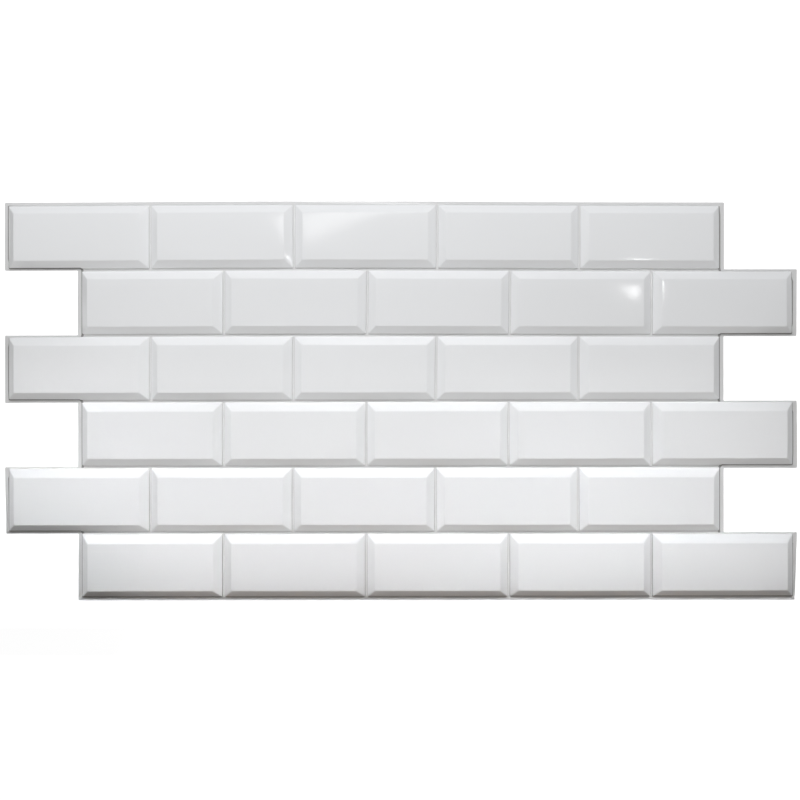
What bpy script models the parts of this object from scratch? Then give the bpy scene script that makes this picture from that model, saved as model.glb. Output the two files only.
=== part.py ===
"""Wall panel of bevelled brick tiles, vacuum-formed from one thin plastic sheet.

The panel lies on its back with the tiles facing +Z. X runs along the courses and
Y across them, with the first course at +Y. Every other course is set along by about
half a tile, so both ends are stepped and hook into the next panel. The sheet has one
thickness all over, so each tile is hollow behind.
"""

import math

import bmesh
import bpy

MM = 0.001

# Tile layout: a pitch is one tile and one joint, and a joint is measured on its flat floor
TILES_PER_COURSE = 5
COURSES = 6
TILE_PITCH = 173.6 * MM
COURSE_PITCH = 79.9 * MM
STAGGER = 89.0 * MM
END_JOINT = 2.3 * MM
BED_JOINT = 3.1 * MM
SHEET_THICKNESS = 0.4 * MM

# Tile section, from the joint up to the face
WALL_RUN = 0.5 * MM
WALL_RISE = 1.5 * MM
ARRIS_ROUNDING = 0.7 * MM
BEVEL_RUN = 9.5 * MM
BEVEL_RISE = 5.5 * MM
EDGE_ROUNDING = 4.0 * MM
CROWN_RUN = 14.0 * MM
CROWN_RISE = 0.35 * MM
ARRIS_STEPS = 1
EDGE_STEPS = 2

# Tile corners, seen from above
FOOT_CORNER = 1.0 * MM
ARRIS_CORNER = 0.8 * MM
FACE_CORNER = 1.6 * MM
CROWN_CORNER = 9.0 * MM
CORNER_STEPS = 1

# Flat border of the trimmed sheet, measured from the foot of the tile next to it
BORDER_LEFT = 5.45 * MM
BORDER_LEFT_NOTCH = 4.55 * MM
BORDER_RIGHT = 6.05 * MM
BORDER_RIGHT_NOTCH = 5.55 * MM
BORDER_TOP = 3.85 * MM
BORDER_BOTTOM = 6.05 * MM
BORDER_ABOVE_TAB = 0.65 * MM
BORDER_BELOW_TAB = 5.45 * MM
TRIM_CORNER = 1.2 * MM
TRIM_STEPS = 2

TILE_COLOUR = (0.78, 0.785, 0.80, 1.0)
JOINT_COLOUR = (0.47, 0.475, 0.48, 1.0)
TILE_ROUGHNESS = 0.22
JOINT_ROUGHNESS = 0.35
TILE_SLOT, JOINT_SLOT = 0, 1

# Worked out from the sizes above
TILE_LENGTH = TILE_PITCH - END_JOINT
TILE_WIDTH = COURSE_PITCH - BED_JOINT


def clear_scene():
    for item in list(bpy.data.objects):
        bpy.data.objects.remove(item, do_unlink=True)


def plastic(name, colour, roughness):
    material = bpy.data.materials.new(name)
    material.use_nodes = True
    shader = material.node_tree.nodes["Principled BSDF"]
    shader.inputs["Base Color"].default_value = colour
    shader.inputs["Roughness"].default_value = roughness
    shader.inputs["Metallic"].default_value = 0.0
    return material


def tile_corner(course, tile):
    """Lowest x and y of a tile's foot, counted from the first tile's top left corner."""
    along = (STAGGER if course % 2 else 0.0) + tile * TILE_PITCH
    return along, -course * COURSE_PITCH - TILE_WIDTH


def course_ends(course):
    """Where the trimmed sheet ends on the left and on the right of a course."""
    first = tile_corner(course, 0)[0]
    last = tile_corner(course, TILES_PER_COURSE - 1)[0] + TILE_LENGTH
    if course % 2:
        return first - BORDER_LEFT_NOTCH, last + BORDER_RIGHT
    return first - BORDER_LEFT, last + BORDER_RIGHT_NOTCH


def course_edges(course):
    """Top and bottom of the trimmed sheet where this course reaches past its neighbours."""
    bottom = tile_corner(course, 0)[1]
    top = bottom + TILE_WIDTH
    above = BORDER_TOP if course == 0 else BORDER_ABOVE_TAB
    below = BORDER_BOTTOM if course == COURSES - 1 else BORDER_BELOW_TAB
    return top + above, bottom - below


def stepped_corners():
    """Corners of the trimmed sheet, down its left end and up its right end."""
    left, right = [], []
    for course in range(COURSES):
        top, bottom = course_edges(course)
        x_left, x_right = course_ends(course)
        # The course that reaches further out is the tab, and it sets the step's height
        tab_end = right if course % 2 else left
        notch_end = left if course % 2 else right
        x_tab = x_right if course % 2 else x_left
        x_notch = x_left if course % 2 else x_right
        tab_end += [(x_tab, top), (x_tab, bottom)]
        notch_top = top if course == 0 else course_edges(course - 1)[1]
        notch_bottom = bottom if course == COURSES - 1 else course_edges(course + 1)[0]
        notch_end += [(x_notch, notch_top), (x_notch, notch_bottom)]
    return left + right[::-1]


def rounded_outline(corners, radius, steps):
    """The outline with each of its right-angled corners turned into an arc."""
    points = []
    for index, corner in enumerate(corners):
        before, after = corners[index - 1], corners[(index + 1) % len(corners)]
        back = [(a - c) / math.dist(before, corner) for a, c in zip(before, corner)]
        ahead = [(a - c) / math.dist(after, corner) for a, c in zip(after, corner)]
        centre = [c + radius * (a + b) for c, a, b in zip(corner, back, ahead)]
        for step in range(steps + 1):
            turn = math.pi / 2 * step / steps
            point = [
                m - radius * (math.cos(turn) * a + math.sin(turn) * b)
                for m, a, b in zip(centre, ahead, back)
            ]
            points.append(tuple(point))
    return points


def rounded_bend(corner, slope_in, slope_out, radius, steps):
    """Points of the arc that rounds a bend in the tile's section, as (inset, height)."""
    half_turn = (slope_in - slope_out) / 2
    tangent = radius * math.tan(half_turn)
    centre_inset = corner[0] + tangent * math.cos(slope_out) + radius * math.sin(slope_out)
    centre_height = corner[1] + tangent * math.sin(slope_out) - radius * math.cos(slope_out)
    points = []
    for step in range(steps + 1):
        slope = slope_in - 2 * half_turn * step / steps
        inset = centre_inset - radius * math.sin(slope)
        points.append((inset, centre_height + radius * math.cos(slope)))
    return points


def tile_section():
    """Rows of (inset, height, corner radius), from the joint up to the crowned face."""
    arris = (WALL_RUN, WALL_RISE)
    edge = (WALL_RUN + BEVEL_RUN, WALL_RISE + BEVEL_RISE)
    wall_slope = math.atan2(WALL_RISE, WALL_RUN)
    bevel_slope = math.atan2(BEVEL_RISE, BEVEL_RUN)
    crown_slope = math.atan2(CROWN_RISE, CROWN_RUN)
    rows = [(0.0, 0.0, FOOT_CORNER)]
    for inset, height in rounded_bend(arris, wall_slope, bevel_slope, ARRIS_ROUNDING, ARRIS_STEPS):
        rows.append((inset, height, ARRIS_CORNER))
    for inset, height in rounded_bend(edge, bevel_slope, crown_slope, EDGE_ROUNDING, EDGE_STEPS):
        rows.append((inset, height, FACE_CORNER))
    rows.append((edge[0] + CROWN_RUN, edge[1] + CROWN_RISE, CROWN_CORNER))
    return rows


def add_loop(bm, points, height):
    return [bm.verts.new((x, y, height)) for x, y in points]


def join_loops(bm, lower, upper, slot):
    for index, vert in enumerate(lower):
        after = (index + 1) % len(lower)
        face = bm.faces.new((vert, lower[after], upper[after], upper[index]))
        face.material_index = slot


def add_tile(bm, x_low, y_low):
    """One raised tile, lofted up its section; returns the loop that it stands on."""
    x_high, y_high = x_low + TILE_LENGTH, y_low + TILE_WIDTH
    loops = []
    for inset, height, radius in tile_section():
        corners = [
            (x_low + inset, y_low + inset),
            (x_high - inset, y_low + inset),
            (x_high - inset, y_high - inset),
            (x_low + inset, y_high - inset),
        ]
        outline = rounded_outline(corners, radius, CORNER_STEPS)
        loops.append(add_loop(bm, outline, SHEET_THICKNESS + height))
    join_loops(bm, loops[0], loops[1], JOINT_SLOT)
    for lower, upper in zip(loops[1:], loops[2:]):
        join_loops(bm, lower, upper, TILE_SLOT)
    bm.faces.new(loops[-1]).material_index = TILE_SLOT
    return loops[0]


def loop_edges(bm, verts):
    edges = []
    for index, vert in enumerate(verts):
        pair = (vert, verts[(index + 1) % len(verts)])
        edges.append(bm.edges.get(pair) or bm.edges.new(pair))
    return edges


def front_surface():
    """The printed side of the sheet: flat joints with the tiles standing on them."""
    outline = stepped_corners()
    middle_x = (min(x for x, _ in outline) + max(x for x, _ in outline)) / 2
    middle_y = (min(y for _, y in outline) + max(y for _, y in outline)) / 2
    bm = bmesh.new()
    edges = []
    for course in range(COURSES):
        for tile in range(TILES_PER_COURSE):
            x_low, y_low = tile_corner(course, tile)
            edges += loop_edges(bm, add_tile(bm, x_low - middle_x, y_low - middle_y))
    corners = [(x - middle_x, y - middle_y) for x, y in outline]
    border = add_loop(bm, rounded_outline(corners, TRIM_CORNER, TRIM_STEPS), SHEET_THICKNESS)
    edges += loop_edges(bm, border)
    filled = bmesh.ops.triangle_fill(bm, use_beauty=True, use_dissolve=False, edges=edges)
    for face in filled["geom"]:
        if isinstance(face, bmesh.types.BMFace):
            face.material_index = JOINT_SLOT
            face.normal_update()
            if face.normal.z < 0:
                face.normal_flip()
    mesh = bpy.data.meshes.new("formed_sheet")
    bm.to_mesh(mesh)
    bm.free()
    return mesh


def formed_sheet():
    sheet = bpy.data.objects.new("formed_sheet", front_surface())
    bpy.context.scene.collection.objects.link(sheet)
    sheet.data.materials.append(plastic("white gloss plastic", TILE_COLOUR, TILE_ROUGHNESS))
    sheet.data.materials.append(plastic("grey printed joint", JOINT_COLOUR, JOINT_ROUGHNESS))
    shell = sheet.modifiers.new("sheet thickness", "SOLIDIFY")
    shell.solidify_mode = "NON_MANIFOLD"
    shell.nonmanifold_thickness_mode = "CONSTRAINTS"
    shell.thickness = SHEET_THICKNESS
    shell.offset = -1.0


clear_scene()
formed_sheet()
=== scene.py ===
import math

import bmesh
import bpy
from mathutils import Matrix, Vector


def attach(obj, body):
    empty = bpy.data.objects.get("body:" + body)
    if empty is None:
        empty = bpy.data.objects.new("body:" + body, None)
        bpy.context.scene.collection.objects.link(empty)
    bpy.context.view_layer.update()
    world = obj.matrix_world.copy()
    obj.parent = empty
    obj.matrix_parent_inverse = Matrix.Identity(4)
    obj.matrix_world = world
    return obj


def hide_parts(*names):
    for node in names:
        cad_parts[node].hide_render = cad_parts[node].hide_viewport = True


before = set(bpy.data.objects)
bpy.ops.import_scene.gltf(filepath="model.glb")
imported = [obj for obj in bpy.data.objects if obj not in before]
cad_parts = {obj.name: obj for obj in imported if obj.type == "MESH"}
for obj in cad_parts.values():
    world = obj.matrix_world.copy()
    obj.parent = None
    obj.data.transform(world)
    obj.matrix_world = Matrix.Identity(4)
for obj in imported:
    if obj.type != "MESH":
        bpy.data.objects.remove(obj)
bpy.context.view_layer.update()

mm = 0.001

# Tile layout, one tile and one joint to a pitch
layout = {
    "courses": 6,
    "tilesPerCourse": 5,
    "tilePitch": 173.6 * mm,
    "coursePitch": 79.9 * mm,
    "stagger": 89.0 * mm,
    "endJoint": 2.3 * mm,
    "bedJoint": 3.1 * mm,
    "thickness": 0.4 * mm,
    "firstFoot": (-477.65 * mm, 239.25 * mm),  # top left corner of the first tile
    "weldGap": 0.02 * mm,
    "sharpAngle": 50,  # degrees
}
layout["tileLength"] = layout["tilePitch"] - layout["endJoint"]
layout["tileWidth"] = layout["coursePitch"] - layout["bedJoint"]


def linkObject(name, data):
    made = bpy.data.objects.new(name, data)
    bpy.context.scene.collection.objects.link(made)
    return made


nodeGap = (200, 160)  # between the columns and rows of a node tree


def wire(tree, kind, values=None, **settings):
    # One node, with its settings, its sockets filled by value or by link, and its place
    node = tree.nodes.new(kind)
    for name, value in settings.items():
        setattr(node, name, value)
    column = 0
    for name, value in (values or {}).items():
        socket = node.inputs[name]
        if isinstance(value, bpy.types.NodeSocket):
            tree.links.new(value, socket)
            column = max(column, value.node.location.x + nodeGap[0])
        else:
            socket.default_value = value
    below = sum(other.location.x == column for other in tree.nodes if other != node)
    node.location = (column, -below * nodeGap[1])
    return node


def calculator(tree):
    # Math nodes for one tree, written as calc("ADD", first, second)
    def calc(operation, first, second=0.0, third=None):
        values = {0: first, 1: second}
        if third is not None:
            values[2] = third
        return wire(tree, "ShaderNodeMath", values, operation=operation).outputs[0]

    return calc


def ramp(tree, value, span, ends=(0, 1), smooth=False):
    # Goes from one end to the other while the value crosses the span
    values = {
        "Value": value, "From Min": span[0], "From Max": span[1],
        "To Min": ends[0], "To Max": ends[1],
    }
    kind = "SMOOTHSTEP" if smooth else "LINEAR"
    return wire(tree, "ShaderNodeMapRange", values, interpolation_type=kind).outputs[0]


def blend(tree, factor, first, second):
    # The first colour at 0, the second at 1
    values = {"Factor": factor, "A": first, "B": second}
    return wire(tree, "ShaderNodeMix", values, data_type="RGBA").outputs["Result"]


def noise(tree, place, scale, detail=2, roughness=0.5):
    values = {"Vector": place, "Scale": scale, "Detail": detail, "Roughness": roughness}
    return wire(tree, "ShaderNodeTexNoise", values).outputs[0]


def bumps(tree, height, distance, strength, under=None):
    # A bumped normal, on top of another one where that is given
    values = {"Height": height, "Distance": distance, "Strength": strength}
    if under:
        values["Normal"] = under
    return wire(tree, "ShaderNodeBump", values).outputs[0]


# The moulded tile, from the flat joint up to its crowned face
tileForm = {
    "wallRun": 0.5 * mm,
    "wallRise": 2.0 * mm,
    "bevelRun": 9.3 * mm,
    "bevelRise": 5.0 * mm,
    "footRadius": 0.4 * mm,
    "arrisRadius": 0.7 * mm,
    "edgeRadius": 3.0 * mm,
    "crownRun": 16.0 * mm,
    "crownRise": 0.12 * mm,
    "footCorner": 1.2 * mm,  # corner radii seen from above
    "arrisCorner": 0.8 * mm,
    "faceCorner": 1.6 * mm,
    "crownCorner": 9.0 * mm,
    "footSteps": 3,
    "arrisSteps": 4,
    "bevelSteps": 3,
    "edgeSteps": 6,
    "crownSteps": 6,
    "cornerSteps": 4,  # even, as the face splits each corner in two
    "stepsAlong": 14,
    "stepsAcross": 6,
}


def bend(corner, slopeIn, slopeOut, radius, steps):
    # The arc that rounds a bend of the section, as (inset, height) points
    turn = 1 if slopeIn > slopeOut else -1
    tangent = radius * math.tan(abs(slopeIn - slopeOut) / 2)
    startInset = corner[0] - tangent * math.cos(slopeIn)
    startHeight = corner[1] - tangent * math.sin(slopeIn)
    middleInset = startInset + turn * radius * math.sin(slopeIn)
    middleHeight = startHeight - turn * radius * math.cos(slopeIn)
    points = []
    for step in range(steps + 1):
        slope = slopeIn + (slopeOut - slopeIn) * step / steps
        inset = middleInset - turn * radius * math.sin(slope)
        points.append((inset, middleHeight + turn * radius * math.cos(slope)))
    return points


def tileSection(form):
    # Rows of (inset, height, corner radius) from the joint to the edge of the flat crown
    wallTop = (form["wallRun"], form["wallRise"])
    faceEdge = (wallTop[0] + form["bevelRun"], wallTop[1] + form["bevelRise"])
    wallSlope = math.atan2(form["wallRise"], form["wallRun"])
    bevelSlope = math.atan2(form["bevelRise"], form["bevelRun"])
    crownSlope = math.atan(2 * form["crownRise"] / form["crownRun"])
    foot = bend((0, 0), 0, wallSlope, form["footRadius"], form["footSteps"])
    arris = bend(wallTop, wallSlope, bevelSlope, form["arrisRadius"], form["arrisSteps"])
    edge = bend(faceEdge, bevelSlope, crownSlope, form["edgeRadius"], form["edgeSteps"])
    rows = [(inset, height, form["footCorner"]) for inset, height in foot]
    rows += [(inset, height, form["arrisCorner"]) for inset, height in arris]
    for step in range(1, form["bevelSteps"]):
        share = step / form["bevelSteps"]
        inset, height = (a + (b - a) * share for a, b in zip(arris[-1], edge[0]))
        radius = form["arrisCorner"] + (form["faceCorner"] - form["arrisCorner"]) * share
        rows.append((inset, height, radius))
    rows += [(inset, height, form["faceCorner"]) for inset, height in edge]
    for step in range(1, form["crownSteps"] + 1):
        share = step / form["crownSteps"]
        rise = 2 * form["crownRise"] * (share - share * share / 2)
        radius = form["faceCorner"] + (form["crownCorner"] - form["faceCorner"]) * share
        rows.append((edge[-1][0] + share * form["crownRun"], edge[-1][1] + rise, radius))
    return rows


def ringPoints(halfLength, halfWidth, radius, form):
    # A rounded rectangle, anticlockwise from its lower left corner
    points = []
    signs = [(-1, -1), (1, -1), (1, 1), (-1, 1)]
    for index, (signX, signY) in enumerate(signs):
        middle = Vector((signX * (halfLength - radius), signY * (halfWidth - radius)))
        for step in range(form["cornerSteps"] + 1):
            angle = math.pi + math.pi / 2 * (index + step / form["cornerSteps"])
            points.append(middle + radius * Vector((math.cos(angle), math.sin(angle))))
        nextX, nextY = signs[(index + 1) % 4]
        reach = Vector((nextX * (halfLength - radius), nextY * (halfWidth - radius)))
        start, end = points[-1], reach + (points[-1] - middle)
        steps = form["stepsAcross"] if index % 2 else form["stepsAlong"]
        points += [start.lerp(end, step / steps) for step in range(1, steps)]
    return points


def fillFace(bm, ring, form):
    # Closes the last ring with a grid of quads, blended from its four sides
    across = form["stepsAlong"] + form["cornerSteps"]
    up = form["stepsAcross"] + form["cornerSteps"]
    start = form["cornerSteps"] // 2
    turned = ring[start:] + ring[:start]
    low = turned[: across + 1]
    right = turned[across : across + up + 1]
    high = turned[across + up : 2 * across + up + 1][::-1]
    left = (turned[2 * across + up :] + turned[:1])[::-1]
    rows = [low]
    for j in range(1, up):
        v = j / up
        row = [left[j]]
        for i in range(1, across):
            u = i / across
            sides = (1 - v) * low[i].co + v * high[i].co + (1 - u) * left[j].co + u * right[j].co
            corners = (1 - v) * ((1 - u) * low[0].co + u * low[-1].co)
            corners += v * ((1 - u) * high[0].co + u * high[-1].co)
            row.append(bm.verts.new(sides - corners))
        rows.append(row + [right[j]])
    rows.append(high)
    for lower, upper in zip(rows, rows[1:]):
        for i in range(across):
            bm.faces.new((lower[i], lower[i + 1], upper[i + 1], upper[i]))


def makeTile(form):
    # One tile standing on z = 0, open below, with its rise and its own place kept on it
    bm = bmesh.new()
    rings = []
    for inset, height, radius in tileSection(form):
        halfLength = layout["tileLength"] / 2 - inset
        halfWidth = layout["tileWidth"] / 2 - inset
        points = ringPoints(halfLength, halfWidth, radius, form)
        rings.append([bm.verts.new((point.x, point.y, height)) for point in points])
    for lower, upper in zip(rings, rings[1:]):
        for index, vert in enumerate(lower):
            after = (index + 1) % len(lower)
            bm.faces.new((vert, lower[after], upper[after], upper[index]))
    fillFace(bm, rings[-1], form)
    mesh = bpy.data.meshes.new("tileForm")
    bm.to_mesh(mesh)
    bm.free()
    rise = mesh.attributes.new("rise", "FLOAT", "POINT")
    place = mesh.attributes.new("tilePlace", "FLOAT_VECTOR", "POINT")
    top = max(vert.co.z for vert in mesh.vertices)
    for vert, riseItem, placeItem in zip(mesh.vertices, rise.data, place.data):
        riseItem.value = vert.co.z
        x = 2 * vert.co.x / layout["tileLength"]
        y = 2 * vert.co.y / layout["tileWidth"]
        placeItem.vector = (x, y, vert.co.z / top)
    return linkObject("tileForm", mesh)


tileObject = makeTile(tileForm)
print("tile formed,", len(tileObject.data.polygons), "faces")

# The trimmed outline: its flat border, measured from the foot of the tile next to it
trim = {
    "left": 5.45 * mm,
    "leftNotch": 5.6 * mm,
    "right": 6.05 * mm,
    "rightNotch": 5.55 * mm,
    "top": 4.2 * mm,
    "bottom": 5.0 * mm,
    "aboveTab": [side * mm for side in (0, 2.5, 2.0, 1.35, 1.15, 0.65)],  # by course
    "belowTab": [side * mm for side in (2.0, 2.6, 3.55, 4.2, 3.35, 0)],
    "cornerRadius": 1.2 * mm,
    "cornerSteps": 3,
    "stepLength": 12.0 * mm,
    "cutAstray": {  # millimetres to the right, at the top and bottom of that end
        ("left", 4): (-0.35, 1.15),
        ("left", 5): (0.75, 0.3),
        ("right", 0): (1.1, 0.9),
        ("right", 1): (1.1, 0.0),
        ("right", 5): (0.0, -3.1),
    },
}


def footCorner(course, tileIndex):
    # Lower left corner of a tile's foot
    firstX, firstY = layout["firstFoot"]
    x = firstX + (layout["stagger"] if course % 2 else 0) + tileIndex * layout["tilePitch"]
    return x, firstY - course * layout["coursePitch"] - layout["tileWidth"]


def trimCorners():
    # Corners of the cut, anticlockwise: down the left end and up the right one
    left, right = [], []
    last = layout["courses"] - 1
    for course in range(layout["courses"]):
        firstX, lowY = footCorner(course, 0)
        lastX = footCorner(course, layout["tilesPerCourse"] - 1)[0] + layout["tileLength"]
        highY = lowY + layout["tileWidth"]
        shifted = course % 2 == 1
        top = highY + (trim["aboveTab"][course] if course else trim["top"])
        bottom = lowY - (trim["belowTab"][course] if course < last else trim["bottom"])
        notchTop, notchBottom = top, bottom
        if course > 0:
            notchTop = highY + layout["bedJoint"] - trim["belowTab"][course - 1]
        if course < last:
            notchBottom = lowY - layout["bedJoint"] + trim["aboveTab"][course + 1]
        leftX = firstX - (trim["leftNotch"] if shifted else trim["left"])
        rightX = lastX + (trim["right"] if shifted else trim["rightNotch"])
        leftY = (notchTop, notchBottom) if shifted else (top, bottom)
        rightY = (top, bottom) if shifted else (notchTop, notchBottom)
        leftAstray = trim["cutAstray"].get(("left", course), (0, 0))
        rightAstray = trim["cutAstray"].get(("right", course), (0, 0))
        left += [Vector((leftX + out * mm, y)) for out, y in zip(leftAstray, leftY)]
        right += [Vector((rightX + out * mm, y)) for out, y in zip(rightAstray, rightY)]
    return left + right[::-1]


def makeOutline():
    # The cut as a loop of edges, with rounded corners and a point every few millimetres
    corners = trimCorners()
    points = []
    for index, corner in enumerate(corners):
        before, after = corners[index - 1], corners[(index + 1) % len(corners)]
        radius = trim["cornerRadius"]
        enter = corner + radius * (before - corner).normalized()
        leave = corner + radius * (after - corner).normalized()
        for step in range(trim["cornerSteps"] + 1):
            share = step / trim["cornerSteps"]
            near = enter.lerp(corner, share)
            points.append(near.lerp(corner.lerp(leave, share), share))
        end = after + radius * (corner - after).normalized()
        steps = max(1, round((end - leave).length / trim["stepLength"]))
        points += [leave.lerp(end, step / steps) for step in range(1, steps)]
    mesh = bpy.data.meshes.new("formedPanel")
    edges = [(index, (index + 1) % len(points)) for index in range(len(points))]
    mesh.from_pydata([(point.x, point.y, 0) for point in points], edges, [])
    return linkObject("formedPanel", mesh)


# Gloss white plastic, with light grey print in the joints and on the border, painted light and
# shade on the tile walls and the lower border, and painted shade round the feet of the outer
# tiles
frontFinish = {
    "white": (0.826, 0.84, 0.860, 1),
    "joint": (0.69, 0.695, 0.705, 1),
    "paintedLightBelow": (-237.1 * mm, -237.9 * mm),  # painted light: the border below the lowest course turns white, lighter than the print
    "line": (0.80, 0.805, 0.81, 1),  # the tile's wall in the upper courses: painted light, near white against the wall's shade
    "lineRise": (0.1 * mm, 0.6 * mm),
    "lowWallShade": (0.50, 0.50, 0.495, 1),  # painted shade: the wall darker in the lowest courses
    "lowWallShadeY": (-0.05, -0.17),
    "printEnd": (1.575 * mm, 2.275 * mm),  # the print fades out this far up the wall
    "printWander": 0.35 * mm,
    "wanderScale": 260,
    "paintedFootShade": (0.20, 0.20, 0.195, 1),  # painted shade: a dark line round the feet of the outer tiles
    "outerReach": (6.8 * mm, 7.8 * mm),  # from the cut
    "outerTop": (2.3 * mm, 2.5 * mm),  # and how far up the wall
    "outerTurn": (-0.5, 0.5),  # the Y of the wall's normal: strongest where it looks down
    "outerWeight": 1.7,
    "underTurn": (-0.45, -0.3),  # walls that look down carry it all along the panel
    "endsBeyond": (0.36, 0.37),  # the others only this far from the middle
    "outerLand": (4.3 * mm, 4.7 * mm),  # where that line starts on the border
    "outerLeft": 0.8 * mm,  # wider at the far left
    "farLeftX": (-0.47, -0.40),
    "roughness": (0.09, 0.14),
    "hazeScale": 14,
    "hazeDetail": 3,
    "hazeSpan": (0.3, 0.7),
    "grainScale": 150,  # bumps to a metre
    "grainHeight": 0.03 * mm,
    "grainStrength": 1,
    "peelScale": 420,  # orange peel, finer than the grain
    "peelHeight": 0.04 * mm,
    "peelStrength": 0.5,
    "peelRoughness": 0.6,
}


def makeFrontFinish(look):
    material = bpy.data.materials.new("glossWhitePrintedAndShaded")
    material.use_nodes = True
    tree = material.node_tree
    shader = tree.nodes["Principled BSDF"]
    calc = calculator(tree)
    place = wire(tree, "ShaderNodeTexCoord").outputs["Object"]
    spot = wire(tree, "ShaderNodeSeparateXYZ", {0: place}).outputs
    rise = wire(tree, "ShaderNodeAttribute", attribute_name="rise").outputs["Fac"]
    fromCut = wire(tree, "ShaderNodeAttribute", attribute_name="fromCut").outputs["Fac"]
    normal = wire(tree, "ShaderNodeNewGeometry").outputs["True Normal"]
    facingY = wire(tree, "ShaderNodeSeparateXYZ", {0: normal}).outputs["Y"]

    # The grey print, flat in the joints and up the wall as far as it was drawn, with painted
    # light (white border below the lowest course, near white upper walls) and painted shade
    # (darker walls in the lowest courses)
    onWall = ramp(tree, rise, look["lineRise"])
    land = blend(tree, ramp(tree, spot["Y"], look["paintedLightBelow"]), look["joint"], look["white"])
    wall = blend(tree, ramp(tree, spot["Y"], look["lowWallShadeY"]), look["line"], look["lowWallShade"])
    wander = calc("MULTIPLY", noise(tree, place, look["wanderScale"]), look["printWander"])
    above = ramp(tree, calc("ADD", rise, wander), look["printEnd"], smooth=True)
    printAndWallShading = blend(tree, above, blend(tree, onWall, land, wall), look["white"])

    # Painted shade: a dark line at the foot of the outer tiles, at both ends and below the tabs,
    # darkest on walls that look down
    nearCut = ramp(tree, fromCut, look["outerReach"], (1, 0))
    atEnds = ramp(tree, calc("ABSOLUTE", spot["X"]), look["endsBeyond"])
    turned = ramp(tree, facingY, look["outerTurn"], (look["outerWeight"], 0))
    under = ramp(tree, facingY, look["underTurn"], (1, 0))
    outward = calc("MAXIMUM", calc("MULTIPLY", turned, atEnds), under)
    lowDown = ramp(tree, rise, look["outerTop"], (1, 0))
    outer = calc("MULTIPLY", calc("MULTIPLY", nearCut, outward), lowDown)
    farLeft = ramp(tree, spot["X"], look["farLeftX"], (look["outerLeft"], 0))
    onLand = ramp(tree, calc("ADD", fromCut, farLeft), look["outerLand"])
    atFoot = calc("MAXIMUM", onWall, calc("MULTIPLY", onLand, atEnds))
    baseWithPaintedShade = blend(tree, calc("MULTIPLY", outer, atFoot), printAndWallShading, look["paintedFootShade"])
    tree.links.new(baseWithPaintedShade, shader.inputs["Base Color"])

    haze = noise(tree, place, look["hazeScale"], look["hazeDetail"])
    rough = ramp(tree, haze, look["hazeSpan"], look["roughness"])
    tree.links.new(rough, shader.inputs["Roughness"])
    grain = noise(tree, place, look["grainScale"])
    peel = noise(tree, place, look["peelScale"], roughness=look["peelRoughness"])
    coarse = bumps(tree, grain, look["grainHeight"], look["grainStrength"])
    fine = bumps(tree, peel, look["peelHeight"], look["peelStrength"], under=coarse)
    tree.links.new(fine, shader.inputs["Normal"])
    return material


# The unprinted back and the cut edge
backFinish = {
    "colour": (0.80, 0.80, 0.79, 1),
    "roughness": 0.42,
    "bumpScale": 900,  # bumps to a metre
    "bumpHeight": 0.02 * mm,
    "bumpStrength": 0.4,
}


def makeBackFinish(look):
    material = bpy.data.materials.new("plainBack")
    material.use_nodes = True
    tree = material.node_tree
    shader = tree.nodes["Principled BSDF"]
    shader.inputs["Base Color"].default_value = look["colour"]
    shader.inputs["Roughness"].default_value = look["roughness"]
    place = wire(tree, "ShaderNodeTexCoord").outputs["Object"]
    grain = noise(tree, place, look["bumpScale"])
    fine = bumps(tree, grain, look["bumpHeight"], look["bumpStrength"])
    tree.links.new(fine, shader.inputs["Normal"])
    return material


# How the thin sheet lies: drawn a little out of line, and not quite flat
sheetLie = {
    "unevenY": (-0.06, 0.21),  # drawn, bowed and sagging from here up
    "drawAlong": 2.3 * mm,
    "drawFromX": -0.31,
    "drawLength": 0.68,
    "sagRight": 0.7 * mm,
    "sagX": (0.1, 0.42),
    "bowUp": 1.15 * mm,
    "bowAtX": -0.12,
    "bowReach": 0.36,
    "waveHeight": 0.5 * mm,
    "waveScale": 3.0,
    "tileTilt": 0.10 * mm,
    "crownSpread": 0.15 * mm,
    "cornerDrop": 0.6 * mm,
    "seed": 62,
}


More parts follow.
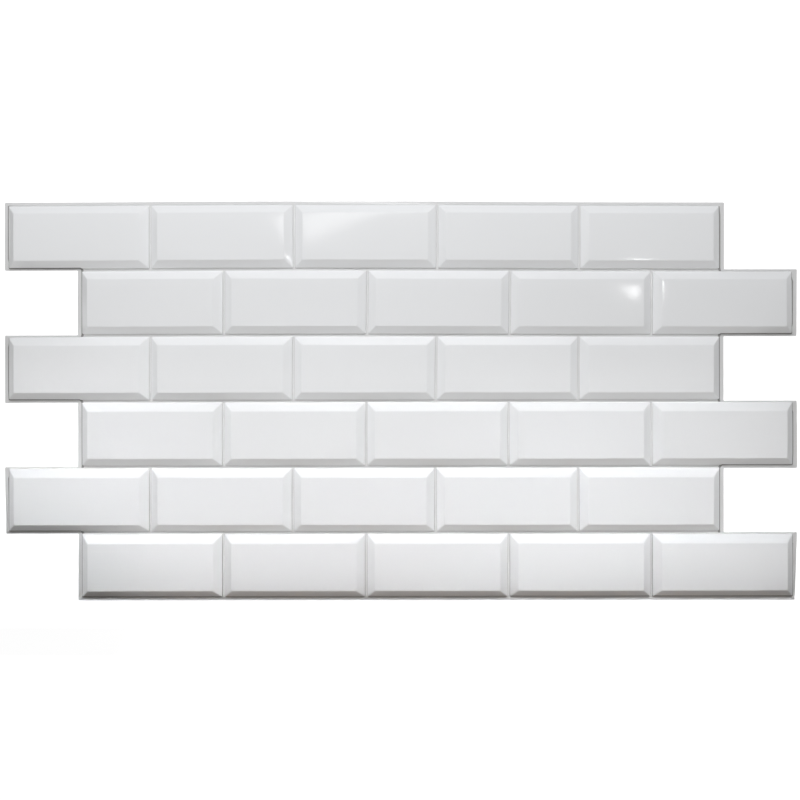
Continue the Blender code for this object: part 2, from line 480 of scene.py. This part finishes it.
def panelTree():
    # Tiles on a staggered grid, the flat joints filled in between, then the lie of the sheet
    tree = bpy.data.node_groups.new("formedPanelTree", "GeometryNodeTree")
    tree.is_modifier = True
    sockets = tree.interface
    sockets.new_socket("Geometry", in_out="INPUT", socket_type="NodeSocketGeometry")
    names = {}
    kinds = {
        "Tile": "Object", "Courses": "Int", "Tiles": "Int", "Tile pitch": "Float",
        "Course pitch": "Float", "Stagger": "Float", "First tile": "Vector",
        "Thickness": "Float", "Weld gap": "Float", "Uneven from": "Float",
        "Uneven to": "Float", "Draw along": "Float", "Draw from": "Float",
        "Draw length": "Float", "Sag right": "Float", "Sag from": "Float",
        "Sag to": "Float", "Bow up": "Float", "Bow at": "Float", "Bow reach": "Float",
        "Wave height": "Float", "Wave scale": "Float", "Tile tilt": "Float",
        "Crown spread": "Float", "Corner drop": "Float", "Seed": "Int",
        "Material": "Material",
    }
    for name, kind in kinds.items():
        made = sockets.new_socket(name, in_out="INPUT", socket_type="NodeSocket" + kind)
        names[name] = made.identifier
    sockets.new_socket("Geometry", in_out="OUTPUT", socket_type="NodeSocketGeometry")
    size = tree.nodes.new("NodeGroupInput").outputs
    calc = calculator(tree)

    # Tile places, from the first tile's middle to the right and down
    tileInfo = wire(tree, "GeometryNodeObjectInfo", {"Object": size["Tile"]})
    count = calc("MULTIPLY", size["Courses"], size["Tiles"])
    places = wire(tree, "GeometryNodePoints", {"Count": count})
    index = wire(tree, "GeometryNodeInputIndex").outputs[0]
    course = calc("FLOOR", calc("DIVIDE", calc("ADD", index, 0.5), size["Tiles"]))
    tileIndex = calc("SUBTRACT", index, calc("MULTIPLY", course, size["Tiles"]))
    shifted = calc("MULTIPLY", calc("MODULO", course, 2.0), size["Stagger"])
    placeX = calc("MULTIPLY_ADD", tileIndex, size["Tile pitch"], shifted)
    placeY = calc("MULTIPLY", calc("MULTIPLY", course, size["Course pitch"]), -1.0)
    grid = wire(tree, "ShaderNodeCombineXYZ", {"X": placeX, "Y": placeY}).outputs[0]
    start = wire(tree, "ShaderNodeVectorMath", {0: grid, 1: size["First tile"]}, operation="ADD")
    moved = wire(tree, "GeometryNodeSetPosition", {
        "Geometry": places.outputs[0], "Position": start.outputs[0],
    })
    copies = wire(tree, "GeometryNodeInstanceOnPoints", {
        "Points": moved.outputs[0], "Instance": tileInfo.outputs["Geometry"],
    })
    luck = wire(tree, "FunctionNodeRandomValue", {
        0: (-1, -1, -1), 1: (1, 1, 1), "Seed": size["Seed"],
    }, data_type="FLOAT_VECTOR")
    marked = wire(tree, "GeometryNodeStoreNamedAttribute", {
        "Geometry": copies.outputs[0], "Name": "tileLuck", 3: luck.outputs[0],
    }, data_type="FLOAT_VECTOR", domain="INSTANCE")
    single = wire(tree, "GeometryNodeRealizeInstances", {"Geometry": marked.outputs[0]})
    tiles = single.outputs[0]

    # The flat joints: the cut outline, with a hole at every tile's foot
    sides = wire(tree, "GeometryNodeInputMeshEdgeNeighbors").outputs[0]
    isFoot = wire(tree, "FunctionNodeCompare", {
        2: sides, 3: 1,
    }, data_type="INT", operation="EQUAL")
    feet = wire(tree, "GeometryNodeMeshToCurve", {"Mesh": tiles, "Selection": isFoot.outputs[0]})
    cut = wire(tree, "GeometryNodeMeshToCurve", {"Mesh": size["Geometry"]})
    loops = wire(tree, "GeometryNodeJoinGeometry")
    tree.links.new(feet.outputs[0], loops.inputs[0])
    tree.links.new(cut.outputs[0], loops.inputs[0])
    land = wire(tree, "GeometryNodeFillCurve", {"Curve": loops.outputs[0]})
    both = wire(tree, "GeometryNodeJoinGeometry")
    tree.links.new(land.outputs[0], both.inputs[0])
    tree.links.new(tiles, both.inputs[0])
    welded = wire(tree, "GeometryNodeMergeByDistance", {
        "Geometry": both.outputs[0], "Distance": size["Weld gap"],
    })
    cutGap = wire(tree, "GeometryNodeProximity", {
        "Geometry": size["Geometry"],
    }, target_element="EDGES")
    measured = wire(tree, "GeometryNodeStoreNamedAttribute", {
        "Geometry": welded.outputs[0], "Name": "fromCut", 3: cutGap.outputs["Distance"],
    }, data_type="FLOAT", domain="POINT")

    # Each tile drew a little differently off the mould
    own = wire(tree, "GeometryNodeInputNamedAttribute", {
        "Name": "tilePlace",
    }, data_type="FLOAT_VECTOR")
    lucky = wire(tree, "GeometryNodeInputNamedAttribute", {
        "Name": "tileLuck",
    }, data_type="FLOAT_VECTOR")
    ownX, ownY, ownZ = wire(tree, "ShaderNodeSeparateXYZ", {0: own.outputs[0]}).outputs
    luckX, luckY, luckZ = wire(tree, "ShaderNodeSeparateXYZ", {0: lucky.outputs[0]}).outputs
    squareX = calc("MULTIPLY", ownX, ownX)
    squareY = calc("MULTIPLY", ownY, ownY)
    tilt = calc("ADD", calc("MULTIPLY", ownX, luckX), calc("MULTIPLY", ownY, luckY))
    hill = calc("MULTIPLY", calc("SUBTRACT", 1.0, squareX), calc("SUBTRACT", 1.0, squareY))
    dome = calc("MULTIPLY", calc("MULTIPLY", hill, luckZ), size["Crown spread"])
    fall = calc("MULTIPLY", calc("ADD", luckZ, 1.0), size["Corner drop"])
    drop = calc("MULTIPLY", calc("MULTIPLY", squareX, squareY), fall)
    lift = calc("SUBTRACT", calc("ADD", calc("MULTIPLY", tilt, size["Tile tilt"]), dome), drop)
    lift = calc("MULTIPLY", lift, ownZ)

    # The lie of the whole sheet
    where = wire(tree, "GeometryNodeInputPosition").outputs[0]
    spot = wire(tree, "ShaderNodeSeparateXYZ", {0: where}).outputs
    upward = ramp(tree, spot[1], (size["Uneven from"], size["Uneven to"]), smooth=True)
    turn = calc("DIVIDE", calc("SUBTRACT", spot[0], size["Draw from"]), size["Draw length"])
    sway = calc("SINE", calc("MULTIPLY", calc("MAXIMUM", turn, 0.0), math.pi))
    drawX = calc("MULTIPLY", calc("MULTIPLY", sway, upward), size["Draw along"])
    rightward = ramp(tree, spot[0], (size["Sag from"], size["Sag to"]), smooth=True)
    away = calc("DIVIDE", calc("SUBTRACT", spot[0], size["Bow at"]), size["Bow reach"])
    hump = calc("SUBTRACT", 1.0, calc("MINIMUM", calc("MULTIPLY", away, away), 1.0))
    bow = calc("MULTIPLY", calc("MULTIPLY", hump, hump), size["Bow up"])
    sag = calc("MULTIPLY", rightward, size["Sag right"])
    drawY = calc("MULTIPLY", calc("SUBTRACT", bow, sag), upward)
    wave = wire(tree, "ShaderNodeTexNoise", {
        "Vector": where, "Scale": size["Wave scale"], "Detail": 1.0, "W": size["Seed"],
    }, noise_dimensions="4D").outputs[0]
    waveZ = calc("MULTIPLY", wave, size["Wave height"])
    upZ = calc("ADD", calc("ADD", waveZ, lift), size["Thickness"])
    offset = wire(tree, "ShaderNodeCombineXYZ", {"X": drawX, "Y": drawY, "Z": upZ})
    lying = wire(tree, "GeometryNodeSetPosition", {
        "Geometry": measured.outputs[0], "Offset": offset.outputs[0],
    })
    smooth = wire(tree, "GeometryNodeSetShadeSmooth", {"Geometry": lying.outputs[0]})
    real = wire(tree, "GeometryNodeRealizeInstances", {"Geometry": smooth.outputs[0]})
    dressed = wire(tree, "GeometryNodeSetMaterial", {
        "Geometry": real.outputs[0], "Material": size["Material"],
    })
    wire(tree, "NodeGroupOutput", {0: dressed.outputs[0]})
    return tree, names


def plainMesh(piece, name):
    # The evaluated shape as a mesh of its own, with the modifiers gone
    graph = bpy.context.evaluated_depsgraph_get()
    mesh = bpy.data.meshes.new_from_object(piece.evaluated_get(graph), depsgraph=graph)
    mesh.name = name
    piece.modifiers.clear()
    piece.data = mesh


def makePanel():
    piece = makeOutline()
    tree, names = panelTree()
    modifier = piece.modifiers.new("formed panel", "NODES")
    modifier.node_group = tree
    firstX, firstY = footCorner(0, 0)
    middle = (firstX + layout["tileLength"] / 2, firstY + layout["tileWidth"] / 2, 0)
    front = makeFrontFinish(frontFinish)
    back = makeBackFinish(backFinish)
    values = {
        "Tile": tileObject, "Courses": layout["courses"], "Tiles": layout["tilesPerCourse"],
        "Tile pitch": layout["tilePitch"], "Course pitch": layout["coursePitch"],
        "Stagger": layout["stagger"], "First tile": middle, "Thickness": layout["thickness"],
        "Weld gap": layout["weldGap"], "Uneven from": sheetLie["unevenY"][0],
        "Uneven to": sheetLie["unevenY"][1], "Draw along": sheetLie["drawAlong"],
        "Draw from": sheetLie["drawFromX"], "Draw length": sheetLie["drawLength"],
        "Sag right": sheetLie["sagRight"], "Sag from": sheetLie["sagX"][0],
        "Sag to": sheetLie["sagX"][1], "Bow up": sheetLie["bowUp"],
        "Bow at": sheetLie["bowAtX"], "Bow reach": sheetLie["bowReach"],
        "Wave height": sheetLie["waveHeight"], "Wave scale": sheetLie["waveScale"],
        "Tile tilt": sheetLie["tileTilt"], "Crown spread": sheetLie["crownSpread"],
        "Corner drop": sheetLie["cornerDrop"], "Seed": sheetLie["seed"], "Material": front,
    }
    for name, value in values.items():
        modifier[names[name]] = value
    plainMesh(piece, "formedPanelFront")
    print("front of the sheet:", len(piece.data.polygons), "faces")
    piece.data.materials.clear()
    piece.data.materials.append(front)
    piece.data.materials.append(back)
    shell = piece.modifiers.new("sheet thickness", "SOLIDIFY")
    shell.solidify_mode = "NON_MANIFOLD"
    shell.nonmanifold_thickness_mode = "CONSTRAINTS"
    shell.thickness = layout["thickness"]
    shell.offset = -1.0
    shell.material_offset = 1
    shell.material_offset_rim = 1
    plainMesh(piece, "formedPanel")
    piece.data.shade_smooth()
    piece.data.set_sharp_from_angle(angle=math.radians(layout["sharpAngle"]))
    print("sheet with its back:", len(piece.data.polygons), "faces")
    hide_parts("formed_sheet")
    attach(piece, "root")


makePanel()
bpy.data.objects.remove(tileObject)

# White studio floor: it glows for the camera and for gloss, and keeps the panel's shadow
floorLook = {"half": 6.0, "drop": 0.2 * mm, "grey": 0.25, "glow": 0.985}


def seenDirectly(tree):
    # 1 for what the camera sees, also in gloss and through clear things
    calc = calculator(tree)
    path = wire(tree, "ShaderNodeLightPath").outputs
    direct = calc("MAXIMUM", path["Is Camera Ray"], path["Is Glossy Ray"])
    return calc("MAXIMUM", direct, path["Is Transmission Ray"])


def makeFloor(look):
    half, low = look["half"], -look["drop"]
    mesh = bpy.data.meshes.new("studioFloor")
    corners = [(-half, -half, low), (half, -half, low), (half, half, low), (-half, half, low)]
    mesh.from_pydata(corners, [], [(0, 1, 2, 3)])
    floor = linkObject("studioFloor", mesh)
    material = bpy.data.materials.new("studioFloor")
    material.use_nodes = True
    tree = material.node_tree
    tree.nodes.clear()
    grey = look["grey"]
    matte = wire(tree, "ShaderNodeBsdfDiffuse", {"Color": (grey, grey, grey, 1)})
    strength = calculator(tree)("MULTIPLY", seenDirectly(tree), look["glow"])
    glow = wire(tree, "ShaderNodeEmission", {"Strength": strength})
    both = wire(tree, "ShaderNodeAddShader", {0: matte.outputs[0], 1: glow.outputs[0]})
    wire(tree, "ShaderNodeOutputMaterial", {"Surface": both.outputs[0]})
    floor.data.materials.append(material)


makeFloor(floorLook)

# Low dark cards just outside the panel, which its outer bevels and edges reflect
cardRoughness = 0.9
sideCard = (0.10, 0.09, 0.08, 1)
cards = {
    "cardBelow": {"from": (-0.56, -0.31), "to": (0.56, -0.31), "height": 0.125,
                  "colour": (0.16, 0.11, 0.07, 1)},
    "cardCorner": {"from": (-0.62, -0.275), "to": (-0.33, -0.275), "height": 0.175,
                   "colour": (0.04, 0.027, 0.015, 1)},
    "cardLeft": {"from": (-0.54, 0.08), "to": (-0.54, -0.31), "height": 0.09,
                 "colour": sideCard},
    "cardLeftTop": {"from": (-0.54, 0.26), "to": (-0.54, 0.12), "height": 0.05,
                    "colour": sideCard},
    "cardRight": {"from": (0.54, -0.31), "to": (0.54, 0.08), "height": 0.09,
                  "colour": sideCard},
}


def makeCard(name, look):
    (x0, y0), (x1, y1), high = look["from"], look["to"], look["height"]
    mesh = bpy.data.meshes.new(name)
    corners = [(x0, y0, 0), (x1, y1, 0), (x1, y1, high), (x0, y0, high)]
    mesh.from_pydata(corners, [], [(0, 1, 2, 3)])
    card = linkObject(name, mesh)
    material = bpy.data.materials.new(name)
    material.use_nodes = True
    shader = material.node_tree.nodes["Principled BSDF"]
    shader.inputs["Base Color"].default_value = look["colour"]
    shader.inputs["Roughness"].default_value = cardRoughness
    shader.inputs["Specular IOR Level"].default_value = 0
    card.data.materials.append(material)
    card.visible_camera = False


for name, look in cards.items():
    makeCard(name, look)

# Soft studio lamps, kept out of the gloss; places and sizes in metres
softboxes = {
    "keyAbove": {"place": (0, 1.1, 0.9), "size": (1.2, 0.4), "watts": 15.2},
    "leftTop": {"place": (-0.5, 0.4, 0.6), "aim": (-0.3, -0.3, 0), "size": (0.4, 0.3),
                "watts": 0.57},
    "frontFill": {"place": (0, -1.6, 1.8), "size": (1.6, 0.8), "watts": 17.8,
                  "colour": (1, 0.975, 0.935)},
    "leftFill": {"place": (-1.4, -0.4, 0.7), "size": (0.6, 0.6), "watts": 1.52},
    "rightFill": {"place": (1.4, -0.4, 0.7), "size": (0.6, 0.6), "watts": 1.19},
    "rightNear": {"place": (0.4, -0.2, 1.0), "aim": (0.35, -0.15, 0), "size": (0.3, 0.3),
                  "watts": 0.44},
}

# Lamps that only the gloss shows: their images lie on the upper courses
glints = {
    "glintAbove": {"place": (-0.14, 0.40, 0.69), "aim": (-0.05, 0.25, 0), "size": (0.40, 0.12),
                   "watts": 0.50},
    "glintRight": {"place": (0.6556, 0.1641, 1.0), "aim": (0.3, 0.15, 0), "size": (0.06, 0.05),
                   "watts": 0.15},
}

# Two rows beyond the first course, aimed down at the lowest ones: narrow beams, then spots
beamRow = {
    "y": 0.65, "z": 0.5, "aimY": -0.26, "aimShare": 0.85, "size": (0.25, 0.06), "spread": 26,
    "watts": {-0.5: 0.126, -0.25: 0.047, 0.0: 0.053, 0.25: 0.108, 0.5: 0.066},  # by x
}
spotRow = {
    "y": 0.65, "z": 0.5, "aimY": -0.24, "aimShare": 0.85, "cone": 30, "radius": 0.12,
    "watts": {-0.25: 5.3, 0.0: 5.6},  # by x
}


def addLamp(name, kind, watts, place, aim, gloss=False):
    lamp = bpy.data.lights.new(name, kind)
    lamp.energy = watts
    made = linkObject(name, lamp)
    made.location = place
    toward = Vector(aim) - Vector(place)
    made.rotation_euler = toward.to_track_quat("-Z", "Y").to_euler()
    made.visible_camera = False
    made.visible_glossy = gloss
    made.visible_diffuse = not gloss
    return lamp


def addSoftbox(name, look, gloss=False):
    aim = look.get("aim", (0, 0, 0))
    lamp = addLamp(name, "AREA", look["watts"], look["place"], aim, gloss)
    lamp.color = look.get("colour", (1, 1, 1))
    lamp.shape = "RECTANGLE"
    lamp.size, lamp.size_y = look["size"]
    return lamp


def rowOfLamps(row, name):
    # The name, watts, place and aim of each lamp in a row
    for number, (x, watts) in enumerate(row["watts"].items(), 1):
        aim = (x * row["aimShare"], row["aimY"], 0)
        yield name + str(number), watts, (x, row["y"], row["z"]), aim


def makeLamps():
    for name, look in softboxes.items():
        addSoftbox(name, look)
    for name, look in glints.items():
        addSoftbox(name, look, gloss=True)
    for name, watts, place, aim in rowOfLamps(beamRow, "beam"):
        look = {"watts": watts, "place": place, "aim": aim, "size": beamRow["size"]}
        addSoftbox(name, look).spread = math.radians(beamRow["spread"])
    for name, watts, place, aim in rowOfLamps(spotRow, "spot"):
        lamp = addLamp(name, "SPOT", watts, place, aim)
        lamp.spot_size = math.radians(spotRow["cone"])
        lamp.spot_blend = 1
        lamp.shadow_soft_size = spotRow["radius"]


makeLamps()
print("studio: floor,", len(cards), "cards and", len(bpy.data.lights), "lamps")

# Seen white behind the panel, and no light from it
worldLook = {"soft": 0.0, "seen": 1.0}


def makeWorld(look):
    world = bpy.data.worlds.new("studio")
    bpy.context.scene.world = world
    world.use_nodes = True
    tree = world.node_tree
    tree.nodes.clear()
    soft = wire(tree, "ShaderNodeBackground", {"Strength": look["soft"]})
    seen = wire(tree, "ShaderNodeBackground", {"Strength": look["seen"]})
    for sky in (soft, seen):
        sky.inputs["Color"].default_value = (1, 1, 1, 1)
    mix = wire(tree, "ShaderNodeMixShader", {
        0: seenDirectly(tree), 1: soft.outputs[0], 2: seen.outputs[0],
    })
    wire(tree, "ShaderNodeOutputWorld", {"Surface": mix.outputs[0]})


makeWorld(worldLook)

# The camera looks straight down from above the second course
cameraLook = {
    "place": (37.7 * mm, 131.0 * mm, 688.7 * mm),
    "turn": -0.073,  # degrees
    "lens": 25.375,  # millimetres, as the sensor
    "sensor": 36,
    "clip": (0.01, 100),
    "imageSide": 800,
    "opticalCentre": (431.8, 294.4),  # pixels from the top left
}


def makeCamera(look):
    data = bpy.data.cameras.new("camera")
    data.sensor_width = look["sensor"]
    data.lens = look["lens"]
    side = look["imageSide"]
    data.shift_x = (side / 2 - look["opticalCentre"][0]) / side
    data.shift_y = (look["opticalCentre"][1] - side / 2) / side
    data.clip_start, data.clip_end = look["clip"]
    camera = linkObject("camera", data)
    camera.location = look["place"]
    camera.rotation_euler.z = math.radians(look["turn"])
    bpy.context.scene.camera = camera


makeCamera(cameraLook)
bpy.context.scene.view_settings.view_transform = "Standard"
